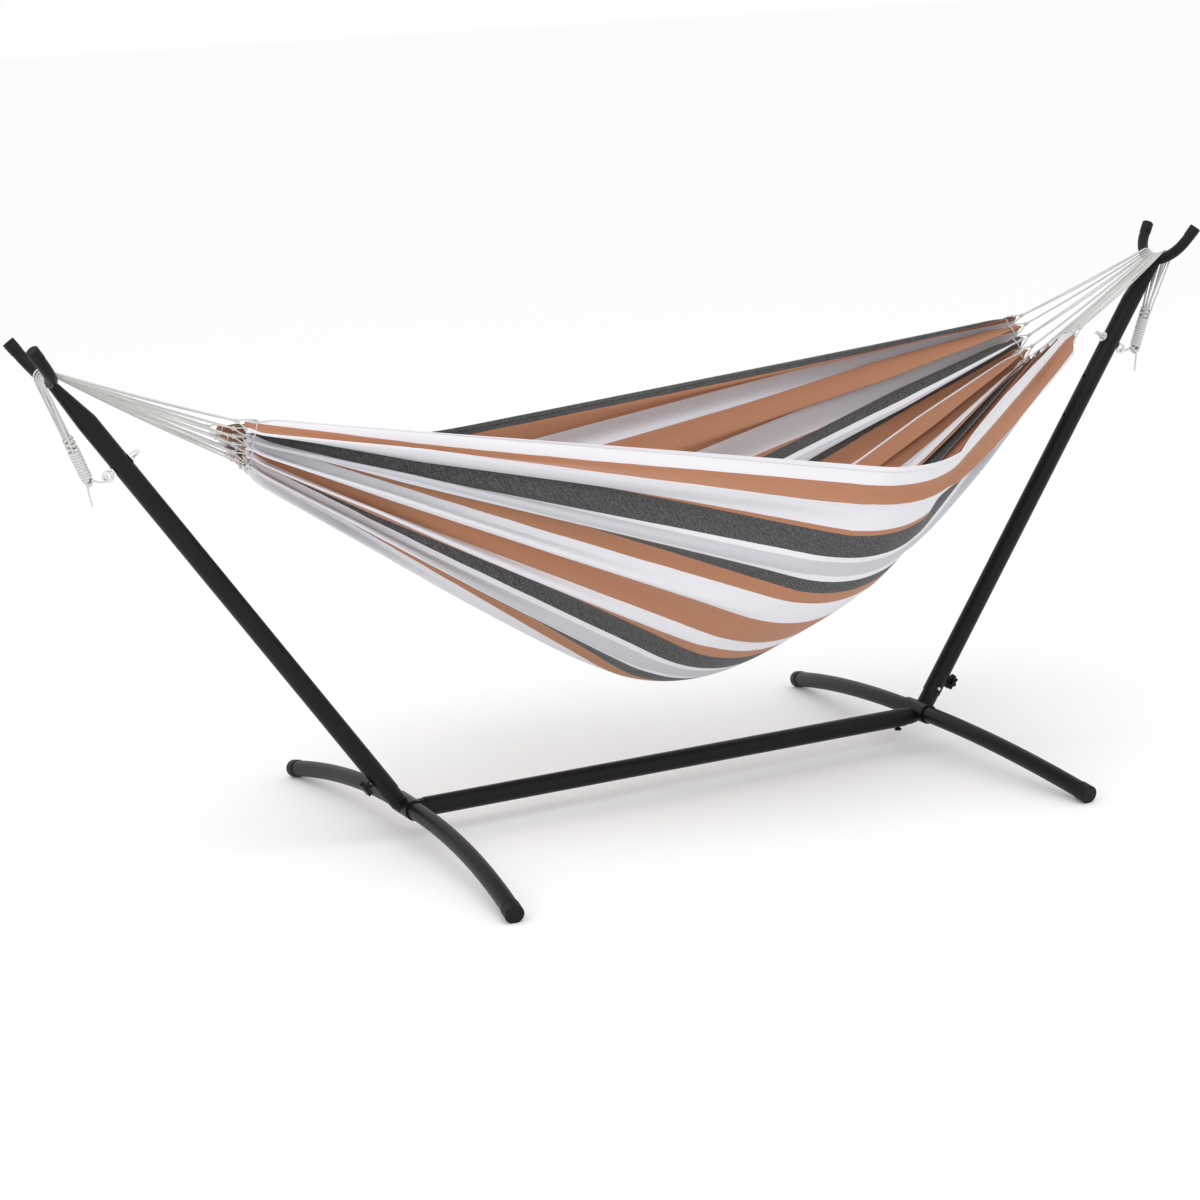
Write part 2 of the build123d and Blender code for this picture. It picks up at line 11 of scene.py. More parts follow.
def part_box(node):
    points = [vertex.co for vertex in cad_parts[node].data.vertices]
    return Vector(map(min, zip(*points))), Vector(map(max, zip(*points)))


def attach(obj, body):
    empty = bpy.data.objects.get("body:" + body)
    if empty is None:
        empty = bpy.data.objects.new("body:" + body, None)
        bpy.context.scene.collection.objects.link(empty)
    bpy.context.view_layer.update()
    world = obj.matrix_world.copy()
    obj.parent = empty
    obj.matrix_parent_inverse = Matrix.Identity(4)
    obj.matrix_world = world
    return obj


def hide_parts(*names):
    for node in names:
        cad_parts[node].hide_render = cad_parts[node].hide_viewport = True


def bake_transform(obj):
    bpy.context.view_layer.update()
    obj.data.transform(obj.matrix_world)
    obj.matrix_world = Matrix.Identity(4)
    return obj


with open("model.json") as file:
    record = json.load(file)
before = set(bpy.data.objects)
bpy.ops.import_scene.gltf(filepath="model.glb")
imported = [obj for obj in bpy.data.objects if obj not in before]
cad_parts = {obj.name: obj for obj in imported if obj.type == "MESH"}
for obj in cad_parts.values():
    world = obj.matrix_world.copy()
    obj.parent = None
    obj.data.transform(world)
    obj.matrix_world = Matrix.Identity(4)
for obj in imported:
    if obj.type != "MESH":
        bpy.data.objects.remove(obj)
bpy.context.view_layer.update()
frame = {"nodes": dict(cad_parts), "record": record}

bl_info = {
    "name": "Hammock on Stand",
    "version": (1, 0, 0),
    "blender": (4, 5, 0),
    "location": "View3D > Sidebar > Hammock",
    "description": "Cloth, cords, finishes and studio for a hammock on a steel stand",
    "category": "Object",
}

# The right upright's own frame, in metres: T runs up the tube and N out of its outer side
LEAN = math.radians(34.0)
HUB_HALF_SPAN = 0.659
BEAM_LOW, BEAM_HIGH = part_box("centre_beam")
HUB = np.array([HUB_HALF_SPAN, 0.0, (BEAM_LOW[2] + BEAM_HIGH[2]) / 2])
T_DIR = np.array([math.sin(LEAN), 0.0, math.cos(LEAN)])
N_DIR = np.array([math.cos(LEAN), 0.0, -math.sin(LEAN)])
Y_DIR = np.array([0.0, 1.0, 0.0])
SADDLE_T = 1.228
FORK_RADIUS = 0.087
FORK_OFFSET = 0.007
FORK_ROD_RADIUS = 0.0125

# Cords over the fork and down into the whipping, in metres
CORD_RADIUS = 0.002
CORD_SIDES = 10
CORDS_PER_END = 10
MIDDLE_CORD = 4
SADDLE_SPREAD = 0.074
SADDLE_GAP = 0.0002
SADDLE_STEPS = 14
WHIPPING_SPREAD = 0.019
WHIPPING_TOP = (0.057, 1.092)
WHIPPING_BOTTOM = (0.073, 1.024)
BUNDLE_DEPTH = 0.0058
BUNDLE_PHASE = 2.2
BUNDLE_BOW = 0.0015
BOW_PHASE = 1.7
DROP_STEPS = 12

# Harness: each cord is two strands, which part a little between its knot and the fork
STRAND_RADIUS = 0.0016
STRAND_OFFSET = 0.0009
STRAND_BOW = 0.0016
STRAND_PHASE = 1.3
HARNESS_STEPS = 26
HARNESS_SAG = 0.0035
BLEND_REACH = 0.45

# Lobes: each one's lashing, the two legs that leave it, and the knot in which they meet
LASHING_RADIUS = 0.0014
LASHING_SLACK = 0.0010
LASHING_SIDES = 8
LASHING_STEPS = 33
LEG_BOW = 0.002
LEG_STEPS = 12
KNOT_FROM_TIP = 0.024
KNOT_RADIUS = 0.0019
KNOT_LENGTH = 0.010
KNOT_TURNS = 2.6
KNOT_CORE = 0.0012
KNOT_SWELL = 0.0018
KNOT_STEPS = 44

# Whippings: a close binding, two windings that cross above it, and loops below it.
# A winding has its start and finish below the whipping's top, half-widths, half-depths and slant.
BINDING_MARGIN = 0.002
BINDING_FILL = 0.98
BINDING = ((0.0112, 0.0106), (0.0098, 0.0092), 0.0012)
CROSSING_TURNS = 2.5
CROSSING_RADIUS = 0.0021
CROSSINGS = (
    (-0.026, -0.001, (0.0122, 0.0112), (0.0094, 0.0098), 0.006),
    (-0.001, -0.026, (0.0112, 0.0124), (0.0100, 0.0096), -0.006),
)
STEPS_PER_TURN = 26
WINDING_WOBBLE = 0.03
WOBBLE_RATE = 0.37
LOWER_LOOPS = ((-0.0078, 0.009), (-0.0026, 0.013), (0.0026, 0.011), (0.0078, 0.008))
LOOP_HALF_DEPTH = 0.0075
LOOP_RADIUS = 0.0025
LOOP_STEPS = 13

# Loose cords: their routes as y, n and t in the upright's frame
TAIL_ROUTE = (
    (-0.006, 0.076, 1.021), (-0.0065, 0.0845, 1.006), (-0.0055, 0.092, 0.9905), (-0.007, 0.0985, 0.9745)
)
TAIL_LENGTH = 0.0518
LINK_ROUTE = (
    (0.005, 0.0675, 1.0215), (0.0075, 0.060, 1.007), (0.010, 0.048, 0.9995), (0.003, 0.0385, 1.001),
    (-0.007, 0.037, 1.002)
)
LINK_LENGTH = 0.0512

# Bed of cloth, in metres: its two gathered ends, and the crease across its middle
RIGHT_NEAR_CORNER = np.array([1.078, -0.075, 0.945])
RIGHT_LOW = np.array([0.988, 0.0, 0.880])
RIGHT_FAR_CORNER = np.array([0.988, 0.045, 0.978])
LEFT_NEAR_CORNER = np.array([-0.975, -0.045, 0.965])
LEFT_LOW = np.array([-0.970, 0.0, 0.868])
LEFT_FAR_CORNER = np.array([-1.003, 0.062, 0.942])
HALF_WIDTH = 0.620
CREASE_SHIFT = 0.348
CREASE_LOW_Z = 0.200
CREASE_EDGE_Z = 0.774
CREASE_ANGLE = 82.0
CREASE_POWER = 0.8
ROUND_MIDDLE = 0.236
ROUND_EDGE = 0.155
CLOTH_WIDTH = 1.60
CLOTH_ROWS = 521
CLOTH_STEPS = (52, 26)
HEM_CROWDING = 1.6
HEM_ROWS = 5
HEM_COLUMNS = 4
SIDE_HEM_THICKNESS = 0.0030
END_HEM_THICKNESS = 0.0034

# Folds: the share of a lobe left off at each side edge, and how the lobes' widths and depths vary
EDGE_TURN = 0.4
TURN_DRIFT = 0.08
LOBE_SHIFT = 0.31
SECOND_WAVE, SECOND_PHASE = 0.22, 0.6
THIRD_WAVE, THIRD_PHASE = 0.14, 1.9
DEPTH_VARIATION, DEPTH_RATE, DEPTH_PHASE = 0.22, 7.3, 1.1

# Folds: how each lobe is drawn together at its lashing, and how its end and the corners are rounded
TIE_REACH_TO_HEM = 0.018
TIE_REACH_TO_BED = 0.034
TIE_DRAW = 0.75
TIE_FLATTENING = 0.6
ROUNDING_REACH = 0.03
CORNER_SHARE = 0.02
CORNER_RECESS = 0.022
CORNER_REACH = 0.06

# Folds: how full ones lean over, the bed's slow swell, and the tuck along the near side's hem
LEAN_SHARE, LEAN_PHASE = 0.16, 1.2
LEAN_FROM, LEAN_MOST = 1.1, 1.6
SWELL, SWELL_RATE, SWELL_PHASE, SWELL_REACH = 0.0075, 3.4, 0.7, 0.15
TUCK_DEPTH, TUCK_PLACE, TUCK_WIDTH, TUCK_REACH = 0.010, 0.053, 0.008, 0.05

# Stage, in metres; a light has its size, its place and the point that it faces
FLOOR_HALF_SIDE = 90.0
KEY_LIGHT = (4.5, (-1.5, -2.2, 4.6), (0.0, 0.0, 0.4))
FILL_LIGHT = (3.0, (-4.5, -4.0, 2.2), (0.0, 0.0, 0.6))
CAMERA_PLACE = (-2.7553, -5.4218, 1.8177)
CAMERA_YAW, CAMERA_PITCH, CAMERA_ROLL = 0.4457, 0.2214, -0.0522
CAMERA_LENS = 83.4
CAMERA_SENSOR = 36.0
CAMERA_REACH = 300.0

# The woven pattern: stripes from the near edge and on to the far edge, in shares of the width
NEAR_STRIPES = (
    ("white", 34), ("terracotta", 33), ("white", 54), ("terracotta", 11),
    ("charcoal", 41), ("white", 11), ("grey", 27), ("white", 11), ("charcoal", 27),
    ("terracotta", 26), ("white", 59), ("terracotta", 70), ("white", 33), ("terracotta", 29),
    ("charcoal", 44), ("white", 12), ("grey", 34), ("white", 12), ("charcoal", 36),
)
FAR_STRIPES = (
    ("terracotta", 33), ("white", 72), ("terracotta", 94), ("white", 52), ("terracotta", 26),
    ("charcoal", 30), ("white", 10), ("grey", 24), ("white", 10), ("charcoal", 45),
    ("terracotta", 23), ("white", 45), ("terracotta", 98), ("white", 51), ("terracotta", 40),
    ("charcoal", 20),
)
PATTERN_WIDTH = sum(width for name, width in NEAR_STRIPES + FAR_STRIPES)


def linear(red, green, blue):
    """An sRGB colour of 0 to 255 a channel, as the linear colour that Blender keeps."""
    channels = [value / 255 for value in (red, green, blue)]
    return tuple(c / 12.92 if c <= 0.04045 else ((c + 0.055) / 1.055) ** 2.4 for c in channels)


# Second colours of the finishes
ZINC_BLOOM = linear(236, 236, 234)
# Painted shade in the grooves between the strands of the laid and the loose cords
CORD_GROOVE_SHADE = linear(150, 149, 147)
LOOSE_CORD_GROOVE_SHADE = linear(156, 155, 153)
CORD_SOIL = linear(198, 196, 192)
TERRACOTTA_FLECK = linear(206, 156, 124)
CHARCOAL_CRACK = linear(140, 140, 140)
GREY_RIB = linear(214, 215, 220)
# Painted shade between the cloth's threads, also reached by a slow random cloudiness in tone
THREAD_SHADOW = (0.80, 0.80, 0.81)

# Rates of the cloth's patterns, in cycles a metre along and across its threads
DRIFT_RATE = (9.0, 2.0, 0.0)
FRAY_RATE = (700.0, 700.0, 0.0)
WARP_RATE = (45.0, 1500.0, 0.0)
WEFT_RATE = (1400.0, 60.0, 0.0)
HEATHER_RATE = (160.0, 420.0, 0.0)
CRACKLE_RATE = (95.0, 150.0, 0.0)
CRACKLE_BEND = (0.055, 0.055, 0.0)
BEND_RATE = 70.0
CLOUD_RATE = 5.0
RIB_RATE = 1000.0 / 3.1
RIB_SHARE = 0.45

# How far a stripe's edge drifts and frays, in the pattern's own units
EDGE_DRIFT = 2.4
EDGE_FRAY = 1.2
EDGE_CENTRING = 1.8

# Sockets of the Mix node for colours
MIX_FACTOR, MIX_FIRST, MIX_SECOND, MIX_RESULT = 0, 6, 7, 2


# ---- Shader helpers
class Signal:
    """A shader socket that takes part in Python arithmetic."""

    def __init__(self, finish, socket):
        self.finish = finish
        self.socket = socket

    def maths(self, operation, *others):
        """A Math node whose first value is this socket."""
        inputs = dict(enumerate((self, *others)))
        return self.finish.node("ShaderNodeMath", {"operation": operation}, inputs)

    def __add__(self, other):
        return self.maths("ADD", other)

    def __sub__(self, other):
        return self.maths("SUBTRACT", other)

    def __rsub__(self, other):
        return self.finish.node("ShaderNodeMath", {"operation": "SUBTRACT"}, {0: other, 1: self})

    def __mul__(self, other):
        return self.maths("MULTIPLY", other)

    def __pow__(self, other):
        return self.maths("POWER", other)

    def __lt__(self, other):
        return self.maths("LESS_THAN", other)

    __radd__ = __add__
    __rmul__ = __mul__


class Finish:
    """One material, and the nodes that make it."""

    def __init__(self, name):
        self.material = bpy.data.materials.new(name)
        self.material.use_nodes = True
        self.tree = self.material.node_tree
        self.shader = next(n for n in self.tree.nodes if n.type == "BSDF_PRINCIPLED")

    def plug(self, socket, value):
        """Gives a socket a link or a value."""
        if isinstance(value, Signal):
            self.tree.links.new(value.socket, socket)
        elif hasattr(value, "__len__") and socket.type == "RGBA":
            socket.default_value = (*value[:3], 1.0)
        else:
            socket.default_value = value

    def node(self, kind, settings=None, inputs=None, output=0):
        """Adds a node: its settings first, then the values or links of its sockets."""
        made = self.tree.nodes.new(kind)
        for key, value in (settings or {}).items():
            if key == "stops":
                ramp = made.color_ramp
                while len(ramp.elements) < len(value):
                    ramp.elements.new(1.0)
                for element, (place, colour) in zip(ramp.elements, value):
                    element.position = place
                    element.color = (*colour, 1.0)
            elif key == "interpolation":
                made.color_ramp.interpolation = value
            else:
                setattr(made, key, value)
        for key, value in (inputs or {}).items():
            self.plug(made.inputs[key], value)
        return Signal(self, made.outputs[output])

    def mix(self, factor, first, second, blend="MIX"):
        """A colour between two, by a factor."""
        settings = {"data_type": "RGBA", "blend_type": blend, "clamp_factor": True}
        inputs = {MIX_FACTOR: factor, MIX_FIRST: first, MIX_SECOND: second}
        return self.node("ShaderNodeMix", settings, inputs, output=MIX_RESULT)

    def stretched(self, vector, scale):
        """A vector multiplied by another."""
        return self.node("ShaderNodeVectorMath", {"operation": "MULTIPLY"}, {0: vector, 1: scale})

    def channel(self, vector, index):
        """One of a vector's three numbers."""
        return self.node("ShaderNodeSeparateXYZ", None, {0: vector}, output=index)

    def noise(self, vector, scale, detail=3.0, roughness=0.55):
        inputs = {"Vector": vector, "Scale": scale, "Detail": detail, "Roughness": roughness}
        return self.node("ShaderNodeTexNoise", None, inputs)

    def object_place(self):
        return self.node("ShaderNodeTexCoord", None, None, output="Object")

    def weave_place(self):
        return self.node("ShaderNodeUVMap", {"uv_map": "weave"})

    def surface(self, **values):
        """Values or links for the surface shader's own sockets, named with underscores for spaces."""
        for key, value in values.items():
            self.plug(self.shader.inputs[key.replace("_", " ")], value)

    def bump(self, height, strength, distance):
        """Adds relief to the surface and hands over the finished material."""
        inputs = {"Height": height, "Strength": strength, "Distance": distance}
        self.surface(Normal=self.node("ShaderNodeBump", None, inputs))
        return self.material


# ---- Finishes
def lighter(colour, gain):
    """A dark colour made lighter, for wear and dust."""
    return tuple(channel * gain + 0.002 for channel in colour)


def powder_coat(settings):
    """Satin black powder coat, with a faint orange peel and dull patches."""
    finish = Finish("satin_powder_coat")
    place = finish.object_place()
    patches = finish.noise(place, 7.0)
    peel = finish.noise(place, 420.0, detail=2.0)
    colour = settings.coat_colour
    finish.surface(
        Base_Color=finish.mix(patches * 0.55, colour, lighter(colour, 1.6)),
        Roughness=0.30 + patches * 0.16 + peel * 0.06,
        Specular_IOR_Level=0.18,
    )
    return finish.bump(peel, 0.18, 0.0004)


def moulded_plastic(settings):
    """Black moulded plastic with a spark-eroded grain and faint smears."""
    finish = Finish("grained_plastic")
    place = finish.object_place()
    grain = finish.noise(place, 900.0, detail=2.0)
    smears = finish.noise(place, 26.0)
    colour = settings.plastic_colour
    finish.surface(
        Base_Color=finish.mix(smears * 0.5, colour, lighter(colour, 1.8)),
        Roughness=0.46 + smears * 0.14,
        Specular_IOR_Level=0.22,
    )
    return finish.bump(grain, 0.3, 0.0003)


def zinc_plate(settings):
    """Bright zinc plate on turned steel, with a faint bloom."""
    finish = Finish("bright_zinc")
    place = finish.object_place()
    bloom = finish.noise(place, 60.0)
    turning = finish.noise(finish.stretched(place, (40.0, 40.0, 900.0)), 1.0, detail=1.0)
    finish.surface(
        Base_Color=finish.mix(bloom, settings.zinc_colour, ZINC_BLOOM),
        Metallic=1.0,
        Roughness=0.22 + bloom * 0.14 + turning * 0.06,
    )
    return finish.bump(turning, 0.15, 0.0002)


def cotton_cord(settings):
    """Off-white laid cord: three strands that wind round it, with painted shade in the grooves between
    them, a little fluff and dirt.
    """
    finish = Finish("laid_cord")
    weave = finish.weave_place()
    turns = finish.channel(weave, 0) * (1 / settings.lay_length) + finish.channel(weave, 1)
    strands = (turns * (3 * math.tau)).maths("SINE") * 0.5 + 0.5
    fluff = finish.noise(finish.object_place(), 900.0, detail=2.0)
    soil = finish.noise(finish.object_place(), 18.0)
    # Painted shade: the cord is darker in the grooves between its strands, where shade falls
    painted_groove_shade = (1 - strands) ** 2.0
    shade = finish.mix(painted_groove_shade * 0.55, settings.cord_colour, CORD_GROOVE_SHADE)
    finish.surface(
        Base_Color=finish.mix(soil * 0.35, shade, CORD_SOIL),
        Roughness=0.80 + fluff * 0.12,
        Sheen_Weight=0.25,
    )
    return finish.bump(strands * 0.8 + fluff * 0.3, 0.7, 0.0010)


def loose_cord(settings):
    """The same cotton for the short loose cords, whose strands lie in their own space, with painted shade
    between the strands.
    """
    finish = Finish("loose_cotton_cord")
    place = finish.object_place()
    inputs = {"Vector": place, "Scale": 75.0, "Distortion": 1.5, "Detail": 1.0}
    strands = finish.node("ShaderNodeTexWave", {"bands_direction": "DIAGONAL"}, inputs, output=1)
    soil = finish.noise(place, 40.0)
    # Painted shade: the cord is darker between its strands, where shade falls
    shade = finish.mix((1 - strands) * 0.4, settings.cord_colour, LOOSE_CORD_GROOVE_SHADE)
    finish.surface(
        Base_Color=finish.mix(soil * 0.35, shade, CORD_SOIL),
        Roughness=0.84 + soil * 0.08,
        Sheen_Weight=0.25,
    )
    return finish.bump(strands, 0.6, 0.0010)


def striped(finish, count, palette):
    """Colours by stripe, from the place across the pattern; a ramp holds at most 32 of them."""

    def ramp(stripes, start):
        total = sum(width for name, width in stripes)
        place, stops = 0.0, []
        for name, width in stripes:
            stops.append((place / total, palette[name]))
            place += width
        settings = {"interpolation": "CONSTANT", "stops": stops}
        return finish.node("ShaderNodeValToRGB", settings, {0: (count - start) * (1 / total)}), total

    near, near_width = ramp(NEAR_STRIPES, 0.0)
    far = ramp(FAR_STRIPES, near_width)[0]
    return finish.mix(count < near_width, far, near)


def striped_cotton(settings):
    """Woven cotton in stripes: the terracotta is flecked, the charcoal crackled and the grey ribbed, with
    painted shade between the threads.
    """
    finish = Finish("woven_stripes")
    weave = finish.weave_place()

    def yarns(rate, **settings):
        return finish.noise(finish.stretched(weave, rate), 1.0, **settings)

    across = finish.channel(weave, 1)
    drift = yarns(DRIFT_RATE, detail=2.0)
    fray = yarns(FRAY_RATE, detail=1.0)
    count = across * (PATTERN_WIDTH / CLOTH_WIDTH) + drift * EDGE_DRIFT + fray * EDGE_FRAY - EDGE_CENTRING
    names = ("white", "terracotta", "charcoal", "grey")
    base = striped(finish, count, {name: getattr(settings, name) for name in names})
    masks = {}
    for wanted in names[1:]:
        shades = {name: (1.0, 1.0, 1.0) if name == wanted else (0.0, 0.0, 0.0) for name in names}
        masks[wanted] = striped(finish, count, shades)

    warp = yarns(WARP_RATE, detail=2.0)
    weft = yarns(WEFT_RATE, detail=2.0)
    heather = yarns(HEATHER_RATE, detail=4.0, roughness=0.7)
    flecked = finish.mix((heather - 0.30) * 1.1, base, TERRACOTTA_FLECK)
    shade = finish.mix(masks["terracotta"] * 0.55, base, flecked)

    bend = finish.noise(weave, BEND_RATE, detail=4.0, roughness=0.7)
    bends = finish.node("ShaderNodeCombineXYZ", None, {0: bend, 1: bend * 0.7})
    inputs = {0: bends, 1: CRACKLE_BEND, 2: weave}
    bent = finish.node("ShaderNodeVectorMath", {"operation": "MULTIPLY_ADD"}, inputs)
    inputs = {"Vector": finish.stretched(bent, CRACKLE_RATE), "Scale": 1.0}
    cells = {"feature": "DISTANCE_TO_EDGE", "voronoi_dimensions": "2D"}
    cracks = finish.node("ShaderNodeTexVoronoi", cells, inputs)
    crackle = (1 - cracks * 7.0).maths("MAXIMUM", 0.0) * 0.34 + heather * 0.42
    shade = finish.mix(masks["charcoal"] * (crackle - 0.12), shade, CHARCOAL_CRACK)

    ribs = (across * RIB_RATE).maths("FRACT") < RIB_SHARE
    shade = finish.mix(masks["grey"] * ribs * 0.5, shade, GREY_RIB)

    # Painted shade in the hollows between warp and weft threads, mixed with a slow random cloudiness in the
    # cloth's tone
    cloudy = finish.noise(weave, CLOUD_RATE)
    painted_thread_shade_and_cloud = warp * 0.35 + weft * 0.25 + cloudy * 0.25
    shade = finish.mix(1.0, shade, finish.mix(painted_thread_shade_and_cloud, (1.0, 1.0, 1.0), THREAD_SHADOW), blend="MULTIPLY")
    finish.surface(Base_Color=shade, Roughness=0.82 + warp * 0.1, Sheen_Weight=0.12)
    return finish.bump(warp * 0.6 + weft * 0.5 + heather * 0.3, 0.35, 0.0008)


# ---- Geometry helpers
def at(y, n, t):
    """A point of the right end, from its place in the upright's frame."""
    return HUB + N_DIR * n + T_DIR * t + Y_DIR * y


def unit(vectors):
    """Vectors scaled to a length of one."""
    return vectors / np.maximum(np.linalg.norm(vectors, axis=-1, keepdims=True), 1e-12)


def new_piece(name, vertices, faces, coordinates, material):
    """A smooth mesh object whose weave coordinates are given for each corner of each face."""
    mesh = bpy.data.meshes.new(name)
    mesh.from_pydata([tuple(v) for v in vertices], [], [tuple(f) for f in faces])
    layer = mesh.uv_layers.new(name="weave")
    layer.data.foreach_set("uv", np.asarray(coordinates, dtype=np.float32).ravel())
    mesh.polygons.foreach_set("use_smooth", [True] * len(mesh.polygons))
    mesh.materials.append(material)
    mesh.update()
    piece = bpy.data.objects.new(name, mesh)
    bpy.context.scene.collection.objects.link(piece)
    return piece


def half_turn(points):
    """Points of the right end, turned about Z to the left end."""
    return np.asarray(points) * np.array([-1.0, -1.0, 1.0])


def grid_faces(rows, columns):
    """The four-cornered faces of a grid whose vertices go row by row."""
    faces = []
    for row in range(rows - 1):
        for column in range(columns - 1):
            corner = row * columns + column
            faces.append((corner, corner + 1, corner + columns + 1, corner + columns))
    return faces


def frames_along(path):
    """Side and up directions along a path, carried forward without twist."""
    tangents = unit(np.gradient(path, axis=0))
    side = np.cross(tangents[0], (0.0, 0.0, 1.0))
    if np.linalg.norm(side) < 1e-3:
        side = np.cross(tangents[0], Y_DIR)
    side = unit(side)
    sides = []
    for tangent in tangents:
        side = unit(side - tangent * np.dot(side, tangent))
        sides.append(side)
    sides = np.array(sides)
    return sides, np.cross(tangents, sides)


def tube_parts(path, radius, sides_count=CORD_SIDES):
    """Vertices, faces and weave coordinates of a round cord along a path, with closed ends."""
    path = np.asarray(path, dtype=float)
    sides, ups = frames_along(path)
    angles = np.arange(sides_count) * math.tau / sides_count
    ring = np.cos(angles)[None, :, None] * sides[:, None] + np.sin(angles)[None, :, None] * ups[:, None]
    vertices = (path[:, None] + ring * radius).reshape(-1, 3)
    lengths = np.concatenate([[0.0], np.cumsum(np.linalg.norm(np.diff(path, axis=0), axis=1))])
    faces, coordinates = [], []
    for row in range(len(path) - 1):
        for side in range(sides_count):
            after = (side + 1) % sides_count
            low, high = row * sides_count, (row + 1) * sides_count
            faces.append((low + side, low + after, high + after, high + side))
            start, end = side / sides_count, (side + 1) / sides_count
            u0, u1 = lengths[row], lengths[row + 1]
            coordinates += [(u0, start), (u0, end), (u1, end), (u1, start)]
    last = (len(path) - 1) * sides_count
    faces += [tuple(range(sides_count))[::-1], tuple(range(last, last + sides_count))]
    coordinates += [(0.0, 0.0)] * sides_count + [(lengths[-1], 0.0)] * sides_count
    return vertices, faces, coordinates


def joined(parts):
    """Several pieces' vertices, faces and coordinates as one."""
    vertices, faces, coordinates = [], [], []
    count = 0
    for some_vertices, some_faces, some_coordinates in parts:
        vertices.append(some_vertices)
        faces += [tuple(index + count for index in face) for face in some_faces]
        coordinates += some_coordinates
        count += len(some_vertices)
    return np.concatenate(vertices), faces, coordinates


# ---- Shape of the cloth
def mixed_ends(across, near, middle, far):
    """Points on the V of a gathered end: near corner, low point, far corner."""
    share = np.abs(across)[:, None]
    corner = np.where(across[:, None] < 0, near, far)
    return middle + (corner - middle) * share


def cloth_base(across, steps):
    """Lengthwise threads of the bed without folds: straight runs and a rounded crease."""
    right = mixed_ends(across, RIGHT_NEAR_CORNER, RIGHT_LOW, RIGHT_FAR_CORNER)
    left = mixed_ends(across, LEFT_NEAR_CORNER, LEFT_LOW, LEFT_FAR_CORNER)
    angles = np.radians(across * CREASE_ANGLE)
    full = math.radians(CREASE_ANGLE)
    lift = ((1 - np.cos(angles)) / (1 - math.cos(full))) ** CREASE_POWER
    crease = np.stack([
        -CREASE_SHIFT * across,
        HALF_WIDTH * np.sin(angles) / math.sin(full),
        CREASE_LOW_Z + (CREASE_EDGE_Z - CREASE_LOW_Z) * lift,
    ], axis=-1)
    reach = (ROUND_MIDDLE + (ROUND_EDGE - ROUND_MIDDLE) * np.abs(across))[:, None]
    bend_start = crease + unit(left - crease) * reach
    bend_end = crease + unit(right - crease) * reach
    straight, bend = steps
    from_hem = np.linspace(0, 1, straight + 1) ** HEM_CROWDING
    rows = [left + (bend_start - left) * share for share in from_hem[:-1]]
    for share in np.linspace(0, 1, bend, endpoint=False):
        rows.append(bend_start * (1 - share) ** 2 + crease * 2 * share * (1 - share) + bend_end * share**2)
    rows += [bend_end + (right - bend_end) * share for share in 1 - from_hem[::-1]]
    return np.stack(rows, axis=1)


def bell(distance, width):
    """One at no distance, falling off smoothly on both sides."""
    return np.exp(-((distance / width) ** 2))


